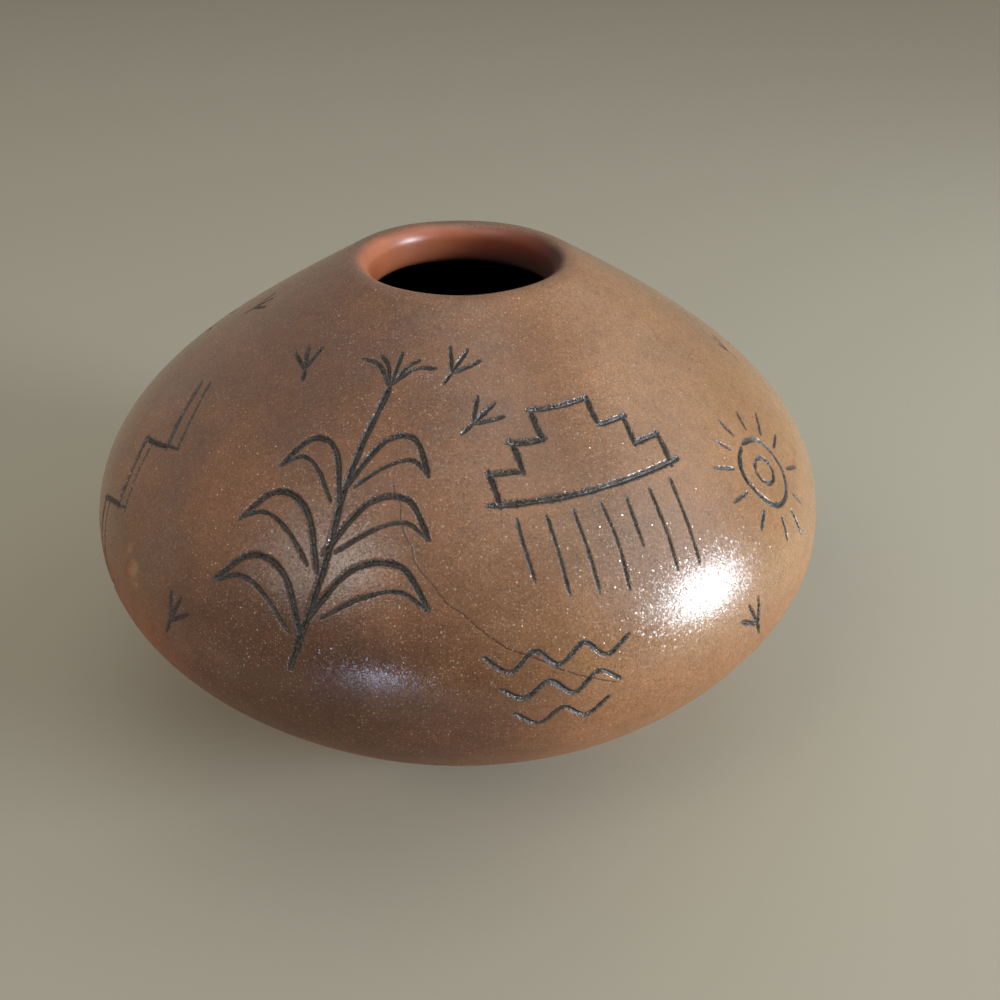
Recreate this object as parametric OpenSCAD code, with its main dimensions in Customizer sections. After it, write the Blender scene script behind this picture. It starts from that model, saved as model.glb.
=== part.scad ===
// Coil-built seed pot: a squat closed jar with a flat foot, a full belly,
// a low sloping shoulder and a small round mouth with a soft rolled lip.
// Millimetres, +Z up, the foot stands on z = 0, the axis of the pot is Z.

/* [Body] */
// Greatest diameter, at the belly
belly_d = 127; // [112:1:140]
// Height of the belly above the foot
belly_z = 43; // [38:1:48]
// Overall height, foot to lip
height = 83; // [77:1:94]
// Diameter of the flat foot
foot_d = 54; // [44:1:64]
// Rounding of the edge of the foot
foot_edge_r = 2; // [1:0.5:4]

/* [Walls] */
// Thickness of the wall, square to its outside
wall_t = 5.5; // [4:0.5:7]
// Thickness of the floor
floor_t = 7; // [5:0.5:8.5]

/* [Mouth] */
// Clear diameter of the throat
mouth_d = 30; // [24:1:36]
// Length of the straight throat
throat_l = 3; // [2:0.5:5]
// Radius of the outer side of the lip
lip_outer_r = 4; // [2.5:0.5:6]
// Radius of the inner side of the lip
lip_inner_r = 2.5; // [1.5:0.5:4]

/* [Curves] */
// Slope of the wall where it leaves the foot, degrees
foot_slope = 35; // [28:1:42]
// Fullness of the wall next to the foot
foot_pull = 15; // [10:1:20]
// Fullness of the wall just below the belly
belly_pull_low = 12; // [11:1:18]
// Fullness of the wall just above the belly
belly_pull_up = 13; // [10:1:18]
// Slope of the shoulder where it meets the lip, degrees
shoulder_slope = 29; // [24:1:34]
// Length of the nearly straight run of the shoulder
shoulder_pull = 34; // [24:1:38]

/* [Clay] */
// Length of wall that is turned up out of the base saucer
saucer_w = 14; // [11:0.5:18]
// Length of shoulder that the rim coil takes
rim_w = 12; // [10:0.5:16]

/* [Hidden] */
$fn = 96;
lower_coils = 4;
shoulder_coils = 4;
// Straight pieces that one edge of a coil's section is drawn with
steps = 8;
belly_r = belly_d / 2;
foot_r = foot_d / 2;
mouth_r = mouth_d / 2;
crest_r = mouth_r + lip_inner_r;
throat_top = height - lip_inner_r;
throat_low = throat_top - throat_l;

// Where the foot's rounding runs into the wall
foot_end = [
    foot_r + foot_edge_r * sin(foot_slope),
    foot_edge_r - foot_edge_r * cos(foot_slope)
];
// Where the shoulder runs into the lip
lip_start = [
    crest_r + lip_outer_r * sin(shoulder_slope),
    height - lip_outer_r + lip_outer_r * cos(shoulder_slope)
];

// Control points of the outside below and above the belly
lower_curve = [
    foot_end,
    foot_end + foot_pull * [cos(foot_slope), sin(foot_slope)],
    [belly_r, belly_z - belly_pull_low],
    [belly_r, belly_z]
];
upper_curve = [
    [belly_r, belly_z],
    [belly_r, belly_z + belly_pull_up],
    lip_start + shoulder_pull * [cos(shoulder_slope), -sin(shoulder_slope)],
    lip_start
];

// Point and direction of a cubic curve
function curve_at(c, t) =
    pow(1 - t, 3) * c[0]
    + 3 * pow(1 - t, 2) * t * c[1]
    + 3 * (1 - t) * pow(t, 2) * c[2]
    + pow(t, 3) * c[3];
function curve_way(c, t) =
    pow(1 - t, 2) * (c[1] - c[0])
    + 2 * (1 - t) * t * (c[2] - c[1])
    + pow(t, 2) * (c[3] - c[2]);

// Outside of the wall: 0 at the foot, 1 at the belly, 2 at the lip
function outside(t) = t <= 1 ? curve_at(lower_curve, t) : curve_at(upper_curve, t - 1);
function way(t) =
    let (w = t <= 1 ? curve_way(lower_curve, t) : curve_way(upper_curve, t - 1))
    w / norm(w);

// Inside of the wall, one wall thickness in from the outside
function inside(t) = outside(t) + wall_t * [-way(t)[1], way(t)[0]];

// Runs of points along both faces of the wall, and along a round
function outside_run(a, b) = [for (i = [0 : steps]) outside(a + (b - a) * i / steps)];
function inside_run(a, b) = [for (i = [0 : steps]) inside(a + (b - a) * i / steps)];
function round_run(c, r, a, b) =
    [for (i = [0 : steps]) let (d = a + (b - a) * i / steps) c + r * [cos(d), sin(d)]];

// Length of a curve up to a place on it, and the place at a length
function run_length(c, t, n = 30) =
    let (d = [for (i = [1 : n]) norm(curve_at(c, t * i / n) - curve_at(c, t * (i - 1) / n))])
    d * [for (x = d) 1];
function place_at(c, l, a = 0, b = 1, n = 30) =
    let (m = (a + b) / 2)
    n == 0 ? m : run_length(c, m) < l ? place_at(c, l, m, b, n - 1) : place_at(c, l, a, m, n - 1);
lower_w = (run_length(lower_curve, 1) - saucer_w) / lower_coils;
shoulder_w = (run_length(upper_curve, 1) - rim_w) / shoulder_coils;

// Beds between the pieces of clay, as places on the wall, each square to it
beds = [
    for (i = [0 : lower_coils - 1]) place_at(lower_curve, saucer_w + lower_w * i),
    1,
    for (i = [1 : shoulder_coils]) 1 + place_at(upper_curve, shoulder_w * i)
];
first_bed = beds[0];
last_bed = beds[lower_coils + shoulder_coils];

// Soft corner between the floor and the inside of the wall
corner_place = 0.75 * first_bed;
corner_end = inside(corner_place);
corner_run = (corner_end[1] - floor_t) / way(corner_place)[1];
corner_mid = corner_end - corner_run * way(corner_place);
corner_start = corner_mid - [corner_run, 0];
function corner_at(t) =
    pow(1 - t, 2) * corner_start + 2 * (1 - t) * t * corner_mid + pow(t, 2) * corner_end;

// Thickened underside of the rim, from the throat out to the inside of the shoulder
under_place = last_bed + 0.3 * (2 - last_bed);
under_end = inside(under_place);
under_run = 0.6 * (under_end[0] - mouth_r);
under_curve = [
    [mouth_r, throat_low],
    [mouth_r, throat_low - under_run / 3],
    under_end + under_run * way(under_place),
    under_end
];

// Saucer of clay pressed flat for the foot, its edge turned up for the first coil
module base_saucer() {
    color([0.50, 0.36, 0.27])
    rotate_extrude()
    polygon(concat(
        [[0, 0]],
        round_run([foot_r, foot_edge_r], foot_edge_r, -90, foot_slope - 90),
        [for (i = [1 : steps]) outside(first_bed * i / steps)],
        [for (i = [0 : 2]) inside(first_bed + (corner_place - first_bed) * i / 3)],
        [for (i = [0 : steps]) corner_at(1 - i / steps)],
        [[0, floor_t]]
    ));
}

// One ring of clay, from bed number k to the next
module coil(k) {
    rotate_extrude()
    polygon(concat(outside_run(beds[k], beds[k + 1]), inside_run(beds[k + 1], beds[k])));
}

// Rings that open out from the saucer to the belly
module lower_coil(i) {
    color([0.52, 0.37, 0.27])
    coil(i - 1);
}

// Rings that close in from the belly over the shoulder
module shoulder_coil(i) {
    color([0.54, 0.38, 0.28])
    coil(lower_coils + i - 1);
}

// Last ring, rolled over into the lip, with the throat inside it
module rim_coil() {
    lip = [crest_r, height - lip_outer_r];
    roll = [crest_r, throat_top];
    color([0.58, 0.36, 0.25])
    rotate_extrude()
    polygon(concat(
        [for (i = [0 : steps - 1]) outside(last_bed + (2 - last_bed) * i / steps)],
        round_run(lip, lip_outer_r, 90 - shoulder_slope, 90),
        [for (i = [1 : steps]) let (d = 90 + 90 * i / steps) roll + lip_inner_r * [cos(d), sin(d)]],
        [for (i = [0 : steps]) curve_at(under_curve, i / steps)],
        [for (i = [1 : 3]) inside(under_place + (last_bed - under_place) * i / 3)]
    ));
}

base_saucer();
for (i = [1 : lower_coils])
    lower_coil(i);
for (i = [1 : shoulder_coils])
    shoulder_coil(i);
rim_coil();
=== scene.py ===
import math
import random

import bmesh
import bpy
import numpy as np
from mathutils import Matrix, Vector, kdtree, noise


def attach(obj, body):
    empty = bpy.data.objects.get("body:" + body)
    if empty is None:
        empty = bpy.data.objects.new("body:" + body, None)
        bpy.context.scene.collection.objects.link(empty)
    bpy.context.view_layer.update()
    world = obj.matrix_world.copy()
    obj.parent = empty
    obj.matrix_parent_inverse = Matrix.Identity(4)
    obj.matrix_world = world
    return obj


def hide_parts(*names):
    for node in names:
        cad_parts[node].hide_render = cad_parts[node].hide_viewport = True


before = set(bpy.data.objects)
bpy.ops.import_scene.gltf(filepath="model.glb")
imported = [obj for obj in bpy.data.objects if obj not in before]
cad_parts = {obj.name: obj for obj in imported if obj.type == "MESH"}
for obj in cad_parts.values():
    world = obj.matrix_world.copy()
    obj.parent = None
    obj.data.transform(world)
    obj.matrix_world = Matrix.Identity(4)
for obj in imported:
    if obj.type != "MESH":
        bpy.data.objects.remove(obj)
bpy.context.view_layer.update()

# Sizes of the pot, in millimetres and radians
BELLY_R = 63.5
BELLY_Z = 43.0
HEIGHT = 83.0
FOOT_R = 27.0
FOOT_EDGE_R = 2.0
WALL_T = 5.5
FLOOR_T = 7.0
MOUTH_R = 15.0
THROAT_L = 3.0
LIP_OUTER_R = 4.0
LIP_INNER_R = 2.5
FOOT_SLOPE = math.radians(35)
FOOT_PULL = 15.0
BELLY_PULL_LOW = 12.0
BELLY_PULL_UP = 13.0
SHOULDER_SLOPE = math.radians(29)
SHOULDER_PULL = 34.0
SAUCER_W = 14.0
RIM_W = 12.0
COILS = 4
CREST_R = MOUTH_R + LIP_INNER_R
MM = 0.001
SAME = 1e-5


def clamp(share):
    return min(1, max(0, share))


# Outline of the wall: places run from 0 at the foot over 1 at the belly to 2 at the lip
def polar(length, angle):
    return np.array([math.cos(angle), math.sin(angle)]) * length


foot_hub = np.array([FOOT_R, FOOT_EDGE_R])
foot_end = foot_hub + polar(FOOT_EDGE_R, FOOT_SLOPE - math.pi / 2)
lip_hub = np.array([CREST_R, HEIGHT - LIP_OUTER_R])
lip_start = lip_hub + polar(LIP_OUTER_R, math.pi / 2 - SHOULDER_SLOPE)
belly = np.array([BELLY_R, BELLY_Z])
LOWER = [foot_end, foot_end + polar(FOOT_PULL, FOOT_SLOPE), belly - [0, BELLY_PULL_LOW], belly]
UPPER = [belly, belly + [0, BELLY_PULL_UP], lip_start + polar(SHOULDER_PULL, -SHOULDER_SLOPE), lip_start]


def curve(c, t):
    t = np.asarray(t, float)[..., None]
    u = 1 - t
    return u**3 * c[0] + 3 * u**2 * t * c[1] + 3 * u * t**2 * c[2] + t**3 * c[3]


def curve_way(c, t):
    t = np.asarray(t, float)[..., None]
    u = 1 - t
    way = u**2 * (c[1] - c[0]) + 2 * u * t * (c[2] - c[1]) + t**2 * (c[3] - c[2])
    return way / np.linalg.norm(way, axis=-1, keepdims=True)


def lower_or_upper(of, t):
    t = np.asarray(t, float)
    low = of(LOWER, np.clip(t, 0, 1))
    return np.where((t <= 1)[..., None], low, of(UPPER, np.clip(t - 1, 0, 1)))


def outside(t):
    """Radius and height on the outside of the wall."""
    return lower_or_upper(curve, t)


def outward(t):
    """Direction square to the wall."""
    way = lower_or_upper(curve_way, t)
    return np.stack([way[..., 1], -way[..., 0]], -1)


def inside(t):
    """Radius and height on the inside of the wall."""
    return outside(t) - WALL_T * outward(t)


# Run: length along the outside, from the belly, upwards positive
PLACES = np.linspace(0, 2, 2001)
RUNS = np.concatenate([[0], np.cumsum(np.linalg.norm(np.diff(outside(PLACES), axis=0), axis=1))])
LOWER_L = np.interp(1, PLACES, RUNS)
RUNS -= LOWER_L
UPPER_L = RUNS[-1]


def place_at(run):
    return np.interp(run, RUNS, PLACES)


# Beds: the places where one piece of clay sits on the next
lower_w = (LOWER_L - SAUCER_W) / COILS
shoulder_w = (UPPER_L - RIM_W) / COILS
BEDS = [float(place_at(SAUCER_W - LOWER_L + lower_w * i)) for i in range(COILS)]
BEDS += [1.0] + [float(place_at(shoulder_w * i)) for i in range(1, COILS + 1)]

# The hand-built wall strays from a true round in waves: reach, waves in a turn, start, drift with height
STRAYS = (
    (0.16, 2, 0.8, 0.02),
    (0.11, 3, -1.1, 0.05),
    (0.07, 5, 2.3, -0.09),
    (0.05, 7, 0.0, 0.16),
)


def wander(angle, z):
    """How far the wall strays from a true round."""
    return sum(reach * np.sin(waves * angle + start + z * drift) for reach, waves, start, drift in STRAYS)


def stand(r, z, angle):
    """Points of the pot; angle 0 faces the front and grows to the right."""
    return np.stack([r * np.sin(angle), -r * np.cos(angle), z], -1)


def angle_of(spot):
    return math.atan2(spot.x, -spot.y)


def on_wall(t, angle, sink=0.0):
    """Points on the outside of the wall, or sunk into it."""
    p = outside(t)
    n = outward(t)
    r = p[..., 0] + wander(angle, p[..., 1]) - n[..., 0] * sink
    return stand(r, p[..., 1] - n[..., 1] * sink, angle)


# Incised lines, drawn freehand in millimetres right and up of a spot (degrees, run) on the wall
HAND_SEED = 11
hand = random.Random(HAND_SEED)
noise.seed_set(HAND_SEED)
CUT_STEP = 0.1
CUT_DEPTH = 0.55
SHAKE = 0.2
SHAKE_SPEED = 0.13
PRESS = 0.25
PRESS_SPEED = 0.4
TAPER_L = 0.8
END_WIDTH = 0.75
END_DEPTH = 0.5
CURVE_STEPS = 16
cuts = []


def flowing(p):
    """A smooth line through a few points."""
    ends = np.vstack([2 * p[0] - p[1], p, 2 * p[-1] - p[-2]])
    if np.allclose(p[0], p[-1]):
        ends[0], ends[-1] = p[-2], p[1]
    u = np.linspace(0, 1, CURVE_STEPS, endpoint=False)[:, None]
    fine = []
    for a, b, c, d in zip(ends, ends[1:], ends[2:], ends[3:]):
        bend = (2 * a - 5 * b + 4 * c - d) * u**2 + (3 * b - a - 3 * c + d) * u**3
        fine.append(0.5 * (2 * b + (c - a) * u + bend))
    return np.vstack(fine + [p[-1:]])


def incise(points, at, width):
    """One stroke of the tool, with an unsteady hand and uneven pressure."""
    p = np.array(points, float)
    if len(p) > 2:
        p = flowing(p)
    length = np.concatenate([[0], np.cumsum(np.linalg.norm(np.diff(p, axis=0), axis=1))])
    s = np.arange(0, length[-1] + CUT_STEP / 2, CUT_STEP)
    seed = 7.3 * len(cuts)
    waver = np.array([noise.noise_vector(Vector((seed, k * SHAKE_SPEED, 0.3))) for k in s])
    press = 1 + PRESS * np.array([noise.noise(Vector((seed, 4.1, k * PRESS_SPEED))) for k in s])
    x = np.interp(s, length, p[:, 0]) + SHAKE * waver[:, 0]
    t = place_at(at[1] + np.interp(s, length, p[:, 1]) + SHAKE * waver[:, 1])
    ends = np.clip(np.minimum(s, length[-1] - s) / TAPER_L, 0, 1)
    half = 0.5 * width * press * (END_WIDTH + (1 - END_WIDTH) * ends)
    deep = CUT_DEPTH * width * press * (END_DEPTH + (1 - END_DEPTH) * ends)
    cuts.append((on_wall(t, math.radians(at[0]) + x / outside(t)[:, 0]), half, deep))


def straights(points, at, width=0.88):
    """Straight cuts from corner to corner, each a little long and a little bowed."""
    over, bow = 0.5, 0.25
    for a, b in zip(points, points[1:]):
        a, b = np.array(a, float), np.array(b, float)
        way = (b - a) / np.linalg.norm(b - a)
        bent = np.array([-way[1], way[0]]) * hand.uniform(-bow, bow)
        start, end = a - way * over * hand.random(), b + way * over * hand.random()
        incise([start, (a + b) / 2 + bent, end], at, width)


def cloud_terrace(at, step_w=4.4, step_h=4.4, steps=3, rain=7):
    """A stepped cloud with rain below it."""
    half = steps * step_w
    left = []
    for i in range(steps):
        left += [(i * step_w - half, i * step_h), (i * step_w - half, (i + 1) * step_h)]
    straights(left + [(-x, y) for x, y in reversed(left)], at)
    straights([(-half - 1.5, 0), (half + 1.5, 0)], at, 0.95)
    for i in range(rain):
        x = half * (2 * i / (rain - 1) - 1) * 0.9
        fall = hand.uniform(7, 12)
        incise([(x, -2), (x + hand.uniform(-0.4, 0.4), -2 - fall / 2), (x - 0.3, -2 - fall)], at, 0.5)


def sun(at, radius=5.6, rays=12):
    for r, width in ((radius, 0.85), (radius * 0.4, 0.7)):
        turns = [math.radians(a) for a in range(100, 475, 25)]
        loop = [(r * hand.uniform(0.96, 1.04) * math.cos(a), r * 0.96 * math.sin(a)) for a in turns]
        incise(loop, at, width)
    for i in range(rays):
        a = 2 * math.pi * (i + hand.uniform(-0.12, 0.12)) / rays
        near, far = radius + 1.7, radius + hand.uniform(4.2, 6.2)
        incise([(near * math.cos(a), near * math.sin(a)), (far * math.cos(a), far * math.sin(a))], at, 0.65)


def lightning(at, w=8.0, drop=9.5, back=2.6, turns=3):
    """A zigzag with a thin line beside it and a barbed point."""
    p = [(0, 0)]
    for i in range(turns):
        p += [(w, p[-1][1] - drop), (1.5, p[-1][1] - drop - back)]
    straights(p[:-1], at, 0.92)
    straights([(x + 2.4, y + 1.0) for x, y in p[:-1]], at, 0.5)
    x, y = p[-2]
    straights([(x - 0.5, y + 4), (x + 1.2, y - 2), (x + 5.5, y + 1.5)], at, 0.8)


def corn(at, tall=40.0, reach=15.0):
    """A stem, three pairs of leaves and a tassel."""
    incise([(-1, 0), (0.6, tall * 0.3), (0, tall * 0.65), (1, tall)], at, 1.0)
    for level, share in ((0.1, 1.0), (0.32, 0.86), (0.54, 0.68)):
        for side in (-1, 1):
            r = side * reach * share * hand.uniform(0.92, 1.08)
            y = tall * level + (2.5 if side > 0 else 0)
            tip = (r, y + reach * 0.22)
            upper_edge = [(0, y), (r * 0.3, y + reach * 0.5), (r * 0.68, y + reach * 0.56), tip]
            incise(upper_edge, at, 0.9)
            lower_edge = [(r * 0.12, y + 0.6), (r * 0.42, y + reach * 0.27)]
            lower_edge += [(r * 0.72, y + reach * 0.36), tip]
            incise(lower_edge, at, 0.62)
    for side in (-2, -1, 0, 1, 2):
        frond = [(1, tall), (1 + side * 1.3, tall + 3.2), (1 + side * 2.7, tall + 5.6 - abs(side))]
        incise(frond, at, 0.65)


def bird_track(at, turn=0.0, size=4.2):
    toes = [(turn + a, size) for a in (-0.6, 0, 0.6)] + [(turn + math.pi, size * 0.5)]
    for a, length in toes:
        incise([(0, 0), (math.sin(a) * length, math.cos(a) * length)], at, 0.7)


def water(at, waves=4, rows=3, wave_l=6.4, gap=4.0, shift=1.8):
    for k in range(rows):
        line = []
        for i in range(2 * waves - k + 1):
            crest = hand.uniform(0.7, 1.2) * (-1) ** i
            line.append((i * wave_l / 2 + k * shift, crest - k * gap))
        incise(line, at, 0.68)


def fret(at, size=13.0):
    turns = [(-1, 0), (0, 0), (0, 1), (-0.75, 1), (-0.75, 0.3), (-0.3, 0.3), (-0.3, 0.68)]
    straights([(x * size, y * size) for x, y in turns], at)


# The front
corn((-17, 7))
cloud_terrace((25, 30))
sun((60, 20))
lightning((-66, 34))
water((5, 10), 3)
for spot, turn in (((0, 50), 0.5), ((5, 42), 0.8), ((-40, 46), -0.6), ((-37, 6), 0.3), ((44, 3), -0.4)):
    bird_track(spot, turn)

# The back
cloud_terrace((182, 26))
corn((130, 6), 36.0)
sun((-108, 26), 6.2)
fret((-142, 16))
water((158, 5))
for spot, turn in (((92, 30), 0.4), ((98, 12), 0.1), ((150, 46), -0.5), ((-124, 48), 0.7), ((-88, 44), 0.2)):
    bird_track(spot, turn)

cut_at = np.vstack([c[0] for c in cuts])
cut_half = np.concatenate([c[1] for c in cuts])
cut_depth = np.concatenate([c[2] for c in cuts])


def finder_of(points):
    """Finds the point of a line that is nearest to a vertex."""
    tree = kdtree.KDTree(len(points))
    for i, p in enumerate(points):
        tree.insert(p, i)
    tree.balance()
    return tree


cut_finder = finder_of(cut_at)

# A hairline crack across the front (degrees, run), and small chips at the right and the left (with a size)
CRACK = [(-9, 33), (-7.5, 30.5), (-5, 25), (-3.5, 22), (1, 17.5), (7, 12.5), (13, 9), (20.5, 5)]
CRACK_STEPS = 700
CRACK_JAG = 0.008
CHIPS = [(74, 16.5, 1.2), (70.5, 15.5, 0.8), (71.5, 18.5, 0.5)]
CHIPS += [(-50.2, 9.8, 0.9), (-47.6, 8.2, 1.5), (-46, 6.6, 0.6)]
crack_run = np.linspace(0, len(CRACK) - 1, CRACK_STEPS)
crack_angle = np.interp(crack_run, range(len(CRACK)), [math.radians(a) for a, run in CRACK])
crack_place = place_at(np.interp(crack_run, range(len(CRACK)), [run for a, run in CRACK]))
crack_jag = np.array([noise.turbulence(Vector((k * 2.5, 9.4, 0)), 4, False) for k in crack_run])
crack_at = on_wall(crack_place, crack_angle + CRACK_JAG * crack_jag)
crack_finder = finder_of(crack_at)


# Finishes
class Tap:
    """A socket of a finish's nodes that can be used in sums."""

    def __init__(self, socket):
        self.socket = socket

    def make(self, kind, settings=None, sockets=None, out=0):
        """A new node with its settings and the values or links of its sockets."""
        tree = self.socket.id_data
        node = tree.nodes.new(kind)
        for key, value in (settings or {}).items():
            setattr(node, key, value)
        for key, value in (sockets or {}).items():
            if isinstance(value, Tap):
                tree.links.new(value.socket, node.inputs[key])
            else:
                node.inputs[key].default_value = value
        return Tap(node.outputs[out])

    def other(self, name):
        return Tap(self.socket.node.outputs[name])

    def math(self, operation, a, b):
        return self.make("ShaderNodeMath", {"operation": operation}, {0: a, 1: b})

    def __add__(self, b):
        return self.math("ADD", self, b)

    def __sub__(self, b):
        return self.math("SUBTRACT", self, b)

    def __rsub__(self, b):
        return self.math("SUBTRACT", b, self)

    def __mul__(self, b):
        return self.math("MULTIPLY", self, b)

    __radd__ = __add__
    __rmul__ = __mul__

    def vector(self, operation, a, b=(0, 0, 0), scale=1.0, out="Vector"):
        sockets = {0: a, 1: b, 3: scale}
        return self.make("ShaderNodeVectorMath", {"operation": operation}, sockets, out)

    def rise(self, low, high):
        """0 below low, 1 above high, eased between."""
        sockets = {"Value": self, "From Min": low, "From Max": high}
        return self.make("ShaderNodeMapRange", {"interpolation_type": "SMOOTHSTEP"}, sockets)

    def mix(self, a, b):
        """Colour a where this is 0 and b where it is 1."""
        return self.make("ShaderNodeMix", {"data_type": "RGBA"}, {0: self, 6: a, 7: b}, 2)

    def noise(self, scale, detail, rough):
        sockets = {"Vector": self, "Scale": scale, "Detail": detail, "Roughness": rough}
        return self.make("ShaderNodeTexNoise", None, sockets)

    def stretched(self, scale, shift=(0, 0, 0)):
        return self.make("ShaderNodeMapping", None, {"Vector": self, "Scale": scale, "Location": shift})

    def axes(self):
        return (self.make("ShaderNodeSeparateXYZ", None, {0: self}, axis) for axis in "XYZ")

    def attribute(self, name):
        return self.make("ShaderNodeAttribute", {"attribute_name": name}, None, "Fac")

    def flecks(self, scale, size, share):
        """Specks of uneven strength in a share of the cells of a scatter, and a random colour for each."""
        cells = self.make("ShaderNodeTexVoronoi", {"feature": "F1"}, {"Vector": self, "Scale": scale})
        lot = self.make("ShaderNodeSeparateColor", None, {0: cells.other("Color")}, "Red")
        strength = lot.rise(1 - share, 1.0) * 0.8 + 0.2
        specks = (1 - cells.rise(size * 0.5, size)) * lot.rise(1 - share, 1.02 - share)
        return specks * strength, cells.other("Color")


def paint(r, g, b):
    """A colour as the eye reads it on a screen, in the shader's linear values."""
    return tuple(((c / 255 + 0.055) / 1.055) ** 2.4 for c in (r, g, b)) + (1.0,)


def new_finish(name):
    finish = bpy.data.materials.new(name)
    finish.use_nodes = True
    tree = finish.node_tree
    tree.nodes.clear()
    skin = tree.nodes.new("ShaderNodeBsdfPrincipled")
    output = tree.nodes.new("ShaderNodeOutputMaterial")
    tree.links.new(skin.outputs[0], output.inputs[0])
    return finish, skin


def feed(skin, name, tap):
    skin.id_data.links.new(tap.socket, skin.inputs[name])


# Colours of the clay, of what is cut into it and of the slip inside the mouth
CLAY_DEEP = paint(124, 82, 53)
CLAY_FAIR = paint(146, 97, 63)
CLAY_LIGHT = paint(160, 106, 66)
CLAY_GREY = paint(112, 86, 72)
# Tan of the right side, partly painted light
CLAY_TAN_AND_LIT = paint(191, 143, 96)
# Red below the belly, painted warm bounce light and shade
RED_BOUNCE_AND_SHADE = paint(150, 82, 34)
SAND_PALE = paint(222, 202, 176)
LINE_DARK = paint(38, 35, 31)
LINE_DUSTY = paint(88, 78, 68)
CRACK_DARK = paint(74, 42, 28)
CHIP_BARE = paint(176, 120, 74)
SLIP_DEEP = paint(180, 98, 60)
SLIP_BRIGHT = paint(196, 112, 72)
# Painted shade in the mouth: the slip on the right and deeper down, and the bare inside
SLIP_SHADED = paint(124, 52, 28)
SLIP_DEEP_SHADE = paint(66, 28, 15)
INSIDE_BARE_AND_SHADED = paint(62, 27, 15)
FLOOR_PALE = paint(184, 177, 158)

# Darker patches low on the front, a painted grey sheen beside the highlight and painted shade on the upper
# left shoulder: middle in metres, tightness, strength and colour of each
DARK_PATCHES_AND_PAINTED_LIGHT = (
    # darker brown patches low on the front, strongest on the left
    ((-0.023, -0.059, 0.045), 38, 0.72, paint(72, 38, 18)),
    ((-0.001, -0.063, 0.042), 52, 0.5, paint(72, 38, 18)),
    ((0.005, -0.058, 0.054), 44, 0.42, paint(82, 52, 34)),
    # painted sheen: greyer beside the highlight
    ((0.0215, -0.047, 0.0615), 75, 0.45, paint(116, 100, 84)),
    # painted shade on the upper left shoulder
    ((-0.026, -0.018, 0.076), 34, 0.35, paint(80, 66, 58)),
)

# Patterns in the clay: how many to a metre, detail and roughness
CLOUDS = (24, 2.0, 0.5)
SMUDGES = (90, 5.0, 0.62)
SHADES = (60, 4.0, 0.6)
MOTTLES = (430, 4.0, 0.6)
GRAINS = (1700, 2.0, 0.55)
SANDS = (3400, 2.0, 0.6)
RUBS = (950, 3.0, 0.55)
SHADE_SHIFT = (0.31, 0.17, 0.23)
RUB_STRETCH = (0.1, 0.1, 1)

# Specks in the clay: how many to a metre, size in their cell and share of the cells
DUST = (4200, 0.36, 0.6)
# Sparks: fine pale specks, partly pale grains and partly painted glints
GRAIN_AND_GLINT_SPECKS = (3200, 0.34, 0.2)
MICA = (1900, 0.28, 0.5)
GRIT = (760, 0.13, 0.3)


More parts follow.
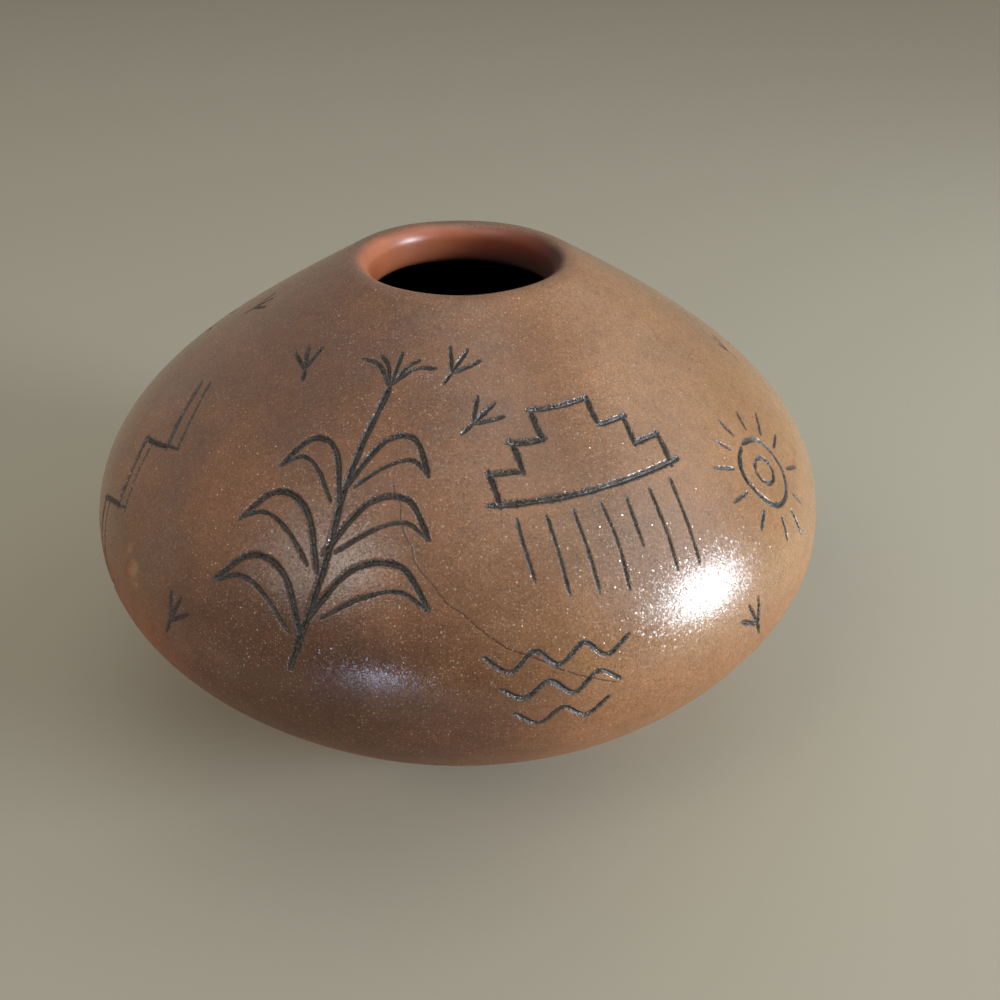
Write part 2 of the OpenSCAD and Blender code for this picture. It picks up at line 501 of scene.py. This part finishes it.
def burnished_clay():
    finish, skin = new_finish("burnished_clay")
    skin.inputs["IOR"].default_value = 1.65
    skin.inputs["Coat Roughness"].default_value = 0.4
    tap = Tap(skin.outputs[0])
    spot = tap.make("ShaderNodeTexCoord", None, None, "Object")
    x, _, z = spot.axes()
    slip = tap.attribute("slip")
    bare_shaded_inside = tap.attribute("bare_shaded_inside")
    chip = tap.attribute("chip")

    cloud = spot.noise(*CLOUDS)
    smudge = spot.noise(*SMUDGES)
    shade = spot.stretched((1, 1, 1), SHADE_SHIFT).noise(*SHADES)
    mottle = spot.noise(*MOTTLES)
    grain = spot.noise(*GRAINS)
    sand = spot.noise(*SANDS)
    rubbed = spot.stretched(RUB_STRETCH).noise(*RUBS)
    line = (tap.attribute("near") + (sand - 0.5) * 0.9 + (grain - 0.5) * 0.9).rise(0.45, 0.61)
    crack = (tap.attribute("crack") + (sand - 0.5) * 0.25).rise(0.82, 0.92)

    # The right side is tan, partly the clay's own colour and partly painted light on the side the lamps
    # face; below the belly the clay is less polished and painted redder as warm bounce light and shade
    tan_and_lit_side = (x * 16 + (cloud - 0.5) * 1.2).rise(-0.2, 1.0)
    low = 1 - (z * 100 + (smudge - 0.5) * 0.8).rise(4.3, 5.2)
    colour = cloud.rise(0.34, 0.62).mix(CLAY_DEEP, CLAY_FAIR)
    colour = (smudge.rise(0.46, 0.76) * 0.45).mix(colour, CLAY_LIGHT)
    colour = (shade.rise(0.48, 0.7) * 0.45).mix(colour, CLAY_GREY)
    colour = (tan_and_lit_side * 0.8).mix(colour, CLAY_TAN_AND_LIT)
    colour = (low * (0.55 - tan_and_lit_side * 0.25)).mix(colour, RED_BOUNCE_AND_SHADE)
    # Darker patches, painted sheen and painted shade from the table above
    for centre, tightness, strength, patch_colour in DARK_PATCHES_AND_PAINTED_LIGHT:
        away = tap.vector("DISTANCE", spot, centre, out="Value") * tightness
        patch = 1 - (away + (smudge - 0.5) * 0.8).rise(0.2, 1.0)
        colour = (patch * strength).mix(colour, patch_colour)
    value = 1 + (sand - 0.5) * 0.95 + (grain - 0.5) * 0.45 + (mottle - 0.5) * 0.5 + (rubbed - 0.5) * 0.25
    colour = tap.vector("MULTIPLY", colour, value)

    dust, facet = spot.flecks(*DUST)
    grain_and_glint, _ = spot.flecks(*GRAIN_AND_GLINT_SPECKS)
    mica, mica_lot = spot.flecks(*MICA)
    grit, _ = spot.flecks(*GRIT)
    drift = 0.4 + smudge.rise(0.35, 0.65) * 0.6
    # the sparks among the specks are partly painted glints
    specks = (dust * 0.35 + mica * 0.6 + grit * 0.9) * drift + grain_and_glint * 0.45
    colour = (chip * 0.75).mix(colour, CHIP_BARE)
    colour = (crack * 0.8).mix(colour, CRACK_DARK)
    colour = line.mix(colour, sand.rise(0.35, 0.65).mix(LINE_DARK, LINE_DUSTY))
    colour = (specks * (1 - line * 0.6)).mix(colour, SAND_PALE)

    # Painted shade in the mouth: the slip darkens on the right and deeper down, where the rim shades it
    mouth_shade = (x * 100 + (0.0806 - z) * 200).rise(-0.6, 1.2)
    red = smudge.rise(0.3, 0.7).mix(SLIP_DEEP, SLIP_BRIGHT)
    red = mouth_shade.mix(red, SLIP_SHADED)
    red = (x * 100).rise(1.1, 1.6).mix(red, SLIP_DEEP_SHADE)
    colour = slip.mix(colour, red)
    colour = bare_shaded_inside.mix(colour, INSIDE_BARE_AND_SHADED)
    feed(skin, "Base Color", colour)

    gloss = 0.06 + smudge * 0.06 + sand * 0.24 + low * 0.4
    gloss = gloss * (1 - slip) + slip * (0.38 + mouth_shade * 0.4)
    gloss = gloss * (1 - bare_shaded_inside) + bare_shaded_inside * 0.85
    gloss = gloss * (1 - line) + line * 0.28
    feed(skin, "Roughness", gloss)
    feed(skin, "Coat Weight", (1 - slip) * (1 - low) * 0.25 + slip * (1 - mouth_shade) * 0.8)
    feed(skin, "Metallic", mica * (1 - line) * (1 - slip) * 0.3)

    # Each grain of sand is a small facet, and the mica lies at odd angles, so both glint
    relief = sand * (0.5 + line * 3) + mottle * 0.8 + rubbed * 0.3
    bump = tap.make("ShaderNodeBump", None, {"Strength": 1.0, "Distance": 0.00005, "Height": relief})
    middle = (0.5, 0.5, 0.5)
    lean = tap.vector("SUBTRACT", facet, middle)
    steep = tap.math("POWER", tap.vector("LENGTH", lean, out="Value"), 4)
    lean = tap.vector("SCALE", lean, scale=(0.045 + steep * 0.65) * (1 + line * 3) * (1 - slip))
    odd = tap.vector("SCALE", tap.vector("SUBTRACT", mica_lot, middle), scale=mica * (1 - slip) * 0.6)
    feed(skin, "Normal", tap.vector("NORMALIZE", tap.vector("ADD", tap.vector("ADD", bump, lean), odd)))
    return finish


clay = burnished_clay()

# Pieces of clay: each is a section spun round the axis, with the lines cut into its outside
OFF_WALL = -1.0
ROW_STEP = 0.8
BED_ROW = 0.1
BED_CLEAR = 0.3
TURN_STEPS = 360
FINE_REACHES = (1.4, 0.9, 0.4)
SHARP_TURN = 0.9
LAYERS = ("place", "radius", "level", "near", "crack", "slip", "bare_shaded_inside", "chip")


def rows(start, end):
    """Places from bed to bed, close together next to the beds so that no joint shows."""
    a, b = np.interp([start, end], PLACES, RUNS)
    count = max(3, round((b - a - 2 * BED_CLEAR) / ROW_STEP))
    even = np.linspace(a + BED_CLEAR, b - BED_CLEAR, count + 1)
    t = place_at(np.concatenate([[a, a + BED_ROW], even, [b - BED_ROW, b]]))
    t[0], t[-1] = start, end
    return t


def outer_rows(start, end):
    places = rows(start, end)
    return [(r, z, t) for t, (r, z) in zip(places, outside(places))]


def plain_rows(points):
    return [(r, z, OFF_WALL) for r, z in points]


def arc(hub, radius, start, end, count):
    return plain_rows([hub + polar(radius, a) for a in np.linspace(start, end, count + 1)])


def spin(bm, layer, section, closed):
    """A ring of vertices for each row of the section, with faces from ring to ring."""
    turn = np.linspace(0, 2 * math.pi, TURN_STEPS, endpoint=False)
    rings = []
    for r, z, t in section:
        angles = turn if r > 0 else turn[:1]
        ring = [bm.verts.new(p) for p in stand(r, np.full(len(angles), z), angles)]
        for v in ring:
            v[layer["place"]], v[layer["radius"]], v[layer["level"]] = t, r, z
        rings.append(ring)
    if closed:
        rings.append(rings[0])
    for low, high in zip(rings, rings[1:]):
        for k in range(TURN_STEPS):
            corners = [low[k % len(low)], low[(k + 1) % len(low)]]
            corners += [high[(k + 1) % len(high)], high[k % len(high)]]
            bm.faces.new(list(dict.fromkeys(corners)))


def settle(bm, layer):
    """Puts every vertex back on the pot's outline after a cut of its edges."""
    steady_r, fade_r = 1, 12
    verts = list(bm.verts)
    t, r, z = (np.array([v[layer[k]] for v in verts]) for k in ("place", "radius", "level"))
    angle = np.array([angle_of(v.co) for v in verts])
    plain = stand(r + wander(angle, z) * np.clip((r - steady_r) / fade_r, 0, 1), z, angle)
    spots = np.where((t >= 0)[:, None], on_wall(np.clip(t, 0, 2), angle), plain)
    for v, p in zip(verts, spots):
        v.co = p


def refine(bm, layer, reach):
    """Smaller faces within reach of the incised lines and the crack."""
    close = set()
    for v in bm.verts:
        if v[layer["place"]] >= 0:
            if cut_finder.find(v.co)[2] < reach or crack_finder.find(v.co)[2] < reach:
                close.add(v)
    split = set()
    for f in bm.faces:
        if all(v[layer["place"]] >= 0 for v in f.verts) and not close.isdisjoint(f.verts):
            split.update(f.edges)
    if split:
        in_order = [e for e in bm.edges if e in split]
        bmesh.ops.subdivide_edges(bm, edges=in_order, cuts=1, use_grid_fill=True)
        settle(bm, layer)


# Cuts, crack and chips, in millimetres; a cut's flat bottom and its slopes are shares of half its width
CUT_FLAT = 0.12
CUT_SLOPE = 0.96
CUT_RAGGED = 0.05
CRACK_REACH = 0.8
CRACK_HALF = 0.25
CRACK_DEPTH = 0.03
CHIP_RAGGED = 0.35
CHIP_EDGE = 0.3
CHIP_SLOPE = 0.6
CHIP_DEPTH = 0.25


def cut_lines(bm, layer):
    """Sinks the lines, crack and chips into the outside and marks how near each vertex is to them."""
    verts = [v for v in bm.verts if v[layer["place"]] >= 0]
    sink = np.zeros(len(verts))
    chip_at = [(on_wall(place_at(run), math.radians(a)), size) for a, run, size in CHIPS]
    for k, v in enumerate(verts):
        _, i, gap = cut_finder.find(v.co)
        half = cut_half[i]
        if gap < 2 * half:
            v[layer["near"]] = 1 - gap / (2 * half)
            ragged = CUT_RAGGED * (noise.noise(v.co * 2.3) + noise.noise(v.co * 5.1))
            sink[k] = cut_depth[i] * (1 - clamp(((gap + ragged) / half - CUT_FLAT) / CUT_SLOPE))
        gap = crack_finder.find(v.co)[2]
        if gap < CRACK_REACH:
            v[layer["crack"]] = 1 - gap / CRACK_REACH
            sink[k] += CRACK_DEPTH * clamp(1 - gap / CRACK_HALF)
        for spot, size in chip_at:
            gap = (v.co - Vector(spot)).length + CHIP_RAGGED * noise.noise(v.co * 1.1)
            if gap < size:
                v[layer["chip"]] = clamp((size - gap) / CHIP_EDGE)
                sink[k] += CHIP_DEPTH * clamp((size - gap) / CHIP_SLOPE)
    t = np.array([v[layer["place"]] for v in verts])
    angle = np.array([angle_of(v.co) for v in verts])
    for v, p in zip(verts, on_wall(t, angle, sink)):
        v.co = p


# Red slip: its edge inside the crest, and how deep it goes before the dark inside clay shows, in
# millimetres; it stops higher on the right as painted shade
THROAT_END = 12.0
SHADED_SIDE = math.radians(85)
SLIP_EDGE = 0.9
SLIP_EDGE_SWAY = 0.7
SLIP_FADE = 1.3
SLIP_DEPTH = 4.2
SLIP_DEPTH_SWAY = 2.8
SHADE_FADE = 2.2
SLIP_RAGGED = 0.3


def mark_inside(bm, layer):
    """Red slip runs from inside the lip's crest down the throat, deepest on the left, to bare inside clay
    painted dark as shade.
    """
    for v in bm.verts:
        r, depth = v[layer["radius"]], HEIGHT - v[layer["level"]]
        if v[layer["place"]] >= 0 or (depth < LIP_OUTER_R and r >= CREST_R):
            continue
        if depth < THROAT_END and r < CREST_R:
            toward_shade = math.cos(angle_of(v.co) - SHADED_SIDE)
            ragged = SLIP_RAGGED * noise.noise(v.co * 0.22)
            edge = CREST_R - SLIP_EDGE + SLIP_EDGE_SWAY * abs(toward_shade) + ragged
            v[layer["slip"]] = clamp((edge - r) / SLIP_FADE)
            # the slip ends higher on the right, as painted shade
            v[layer["bare_shaded_inside"]] = clamp((depth - SLIP_DEPTH + SLIP_DEPTH_SWAY * toward_shade + ragged) / SHADE_FADE)
        # the rest of the inside is bare clay, painted dark as shade
        elif v[layer["level"]] > FOOT_EDGE_R:
            v[layer["bare_shaded_inside"]] = 1.0


def soften(bm, layer):
    """Smooth shading all over, apart from the edges of the beds and the sharp turns inside."""
    for f in bm.faces:
        f.smooth = True
    for e in bm.edges:
        a, b = (v[layer["place"]] for v in e.verts)
        if a < 0 and b < 0:
            e.smooth = e.calc_face_angle(0) < SHARP_TURN
        elif abs(a - b) < SAME / 10:
            e.smooth = all(abs(a - bed) > SAME for bed in BEDS)


def turn_clay(node, section, closed=True):
    """One piece of clay, from its section to the piece that stands for its node."""
    bm = bmesh.new()
    layer = {name: bm.verts.layers.float.new(name) for name in LAYERS}
    spin(bm, layer, section, closed)
    settle(bm, layer)
    for reach in FINE_REACHES:
        refine(bm, layer, reach)
    cut_lines(bm, layer)
    mark_inside(bm, layer)
    soften(bm, layer)

    name = "clay_" + node
    mesh = bpy.data.meshes.new(name)
    bm.to_mesh(mesh)
    bm.free()
    mesh.transform(Matrix.Scale(MM, 4))
    mesh.materials.append(clay)
    piece = bpy.data.objects.new(name, mesh)
    bpy.context.scene.collection.objects.link(piece)
    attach(piece, "root")
    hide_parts(node)


def base_section():
    """From the middle of the foot, round the wall, to the middle of the floor."""
    bed = BEDS[0]
    corner = 0.75 * bed
    end, out = inside(corner), outward(corner)
    way = np.array([-out[1], out[0]])
    run = (end[1] - FLOOR_T) / way[1]
    mid = end - run * way
    start = mid - [run, 0]
    bend = [u**2 * end + 2 * u * (1 - u) * mid + (1 - u) ** 2 * start for u in np.linspace(1, 0, 9)]
    foot = plain_rows([(FOOT_R * k / 6, 0) for k in range(6)])
    edge = arc(foot_hub, FOOT_EDGE_R, -math.pi / 2, FOOT_SLOPE - math.pi / 2, 8)
    wall = outer_rows(0.0, bed)[1:]
    up = plain_rows(inside(np.linspace(bed, corner, 4)[:-1]))
    floor = plain_rows([(start[0] * k / 4, FLOOR_T) for k in (3, 2, 1, 0)])
    return foot + edge + wall + up + plain_rows(bend) + floor


def coil_section(start, end):
    return outer_rows(start, end) + plain_rows(inside(np.linspace(end, start, 7)))


def rim_section():
    """Shoulder, rolled lip, throat and the thickened underside of the last coil."""
    bed = BEDS[-1]
    under_place = bed + 0.3 * (2 - bed)
    end, out = inside(under_place), outward(under_place)
    run = 0.6 * (end[0] - MOUTH_R)
    top, low = HEIGHT - LIP_INNER_R, HEIGHT - LIP_INNER_R - THROAT_L
    pulled = end + run * np.array([-out[1], out[0]])
    under = [np.array([MOUTH_R, low]), np.array([MOUTH_R, low - run / 3]), pulled, end]
    lip = arc(lip_hub, LIP_OUTER_R, math.pi / 2 - SHOULDER_SLOPE, math.pi / 2, 8)[1:]
    roll = arc(np.array([CREST_R, top]), LIP_INNER_R, math.pi / 2, math.pi, 12)[1:]
    throat = plain_rows([(MOUTH_R, top - THROAT_L * k / 3) for k in (1, 2)])
    below = plain_rows(curve(under, np.linspace(0, 1, 11)))
    back = plain_rows(inside(np.linspace(under_place, bed, 4)[1:]))
    return outer_rows(bed, 2.0) + lip + roll + throat + below + back


turn_clay("base_saucer", base_section(), closed=False)
for i in range(2 * COILS):
    node = f"lower_coil_{i + 1}" if i < COILS else f"shoulder_coil_{i + 1 - COILS}"
    turn_clay(node, coil_section(BEDS[i], BEDS[i + 1]))
turn_clay("rim_coil", rim_section())


# Floor, light and camera
def pale_floor():
    finish, skin = new_finish("pale_floor")
    skin.inputs["Base Color"].default_value = FLOOR_PALE
    skin.inputs["Roughness"].default_value = 1.0
    skin.inputs["Specular IOR Level"].default_value = 0.0
    bm = bmesh.new()
    bmesh.ops.create_grid(bm, x_segments=8, y_segments=8, size=4.0)
    mesh = bpy.data.meshes.new("floor")
    bm.to_mesh(mesh)
    bm.free()
    mesh.materials.append(finish)
    floor = bpy.data.objects.new("floor", mesh)
    bpy.context.scene.collection.objects.link(floor)


def soft_light(name, side, lift, away, size, power, colour):
    """An area light at side degrees right of the viewer and lift degrees up, as the pot sees it."""
    a, b = math.radians(side), math.radians(lift)
    lamp = bpy.data.lights.new(name, "AREA")
    lamp.shape = "DISK"
    lamp.size, lamp.energy, lamp.color = size, power, colour
    way = Vector((math.sin(a) * math.cos(b), -math.cos(a) * math.cos(b), math.sin(b)))
    holder = bpy.data.objects.new(name, lamp)
    holder.location = Vector((0, 0, BELLY_Z * MM)) + way * away
    holder.rotation_euler = way.to_track_quat("Z", "Y").to_euler()
    bpy.context.scene.collection.objects.link(holder)


def room():
    """A dim fill from all sides, strongest from the left and from above."""
    world = bpy.data.worlds.new("room")
    world.use_nodes = True
    background = world.node_tree.nodes["Background"]
    tap = Tap(background.outputs[0])
    x, y, z = tap.make("ShaderNodeTexCoord", None, None, "Generated").axes()
    light = (0.02, 0.02, 0.02)
    tints = (
        (x, (0.06, 0.06, 0.057)),
        (y * -1, (0.06, 0.06, 0.057)),
        (x * -1, (0.38, 0.31, 0.25)),
        (y, (0.22, 0.22, 0.21)),
        (z, (0.35, 0.37, 0.38)),
    )
    for way, tint in tints:
        facing = tap.math("MAXIMUM", way, 0)
        light = tap.vector("ADD", tap.vector("SCALE", tint, scale=facing * facing), light)
    feed(background, "Color", light)
    bpy.context.scene.world = world


# Lights: degrees right of the viewer, degrees up, distance and width in metres, power and colour
LIGHTS = {
    "lamp": (72.5, 13.8, 0.7, 0.25, 4.4, (0.84, 0.92, 1.0)),
    "window": (72, 30, 1.2, 1.0, 1.7, (0.44, 0.68, 1.0)),
    "side": (100, 40, 3.0, 1.7, 6.2, (1.0, 0.98, 0.95)),
    "back": (130, 35, 3.0, 1.7, 2.5, (1.0, 0.97, 0.94)),
    "sky": (180, 70, 4.0, 3.0, 7.5, (1.0, 0.95, 0.88)),
    "top": (60, 75, 3.0, 1.7, 5.2, (1.0, 0.96, 0.9)),
    "left": (-55, 44, 1.2, 0.6, 1.3, (1.0, 0.9, 0.8)),
    "sheen": (-43, 51, 1.2, 0.28, 0.8, (1.0, 0.92, 0.84)),
    "front": (-19, 2, 1.2, 0.1, 1.2, (0.57, 0.7, 1.0)),
}

pale_floor()
room()
for name, setting in LIGHTS.items():
    soft_light(name, *setting)
bpy.context.scene.view_settings.view_transform = "Standard"

# The camera stands where the photograph was taken from
FOCAL_SHARE = 0.86
LOOK_DOWN = 34.95
ROLL = 1.02
STANDPOINT = (0.00694, -0.1361, 0.1301)
camera = bpy.data.cameras.new("camera")
camera.sensor_width = 36.0
camera.lens = camera.sensor_width * FOCAL_SHARE
camera.clip_start = 0.01
view = bpy.data.objects.new("camera", camera)
view.matrix_world = (
    Matrix.Translation(STANDPOINT)
    @ Matrix.Rotation(math.radians(90 - LOOK_DOWN), 4, "X")
    @ Matrix.Rotation(math.radians(ROLL), 4, "Z")
)
bpy.context.scene.collection.objects.link(view)
bpy.context.scene.camera = view
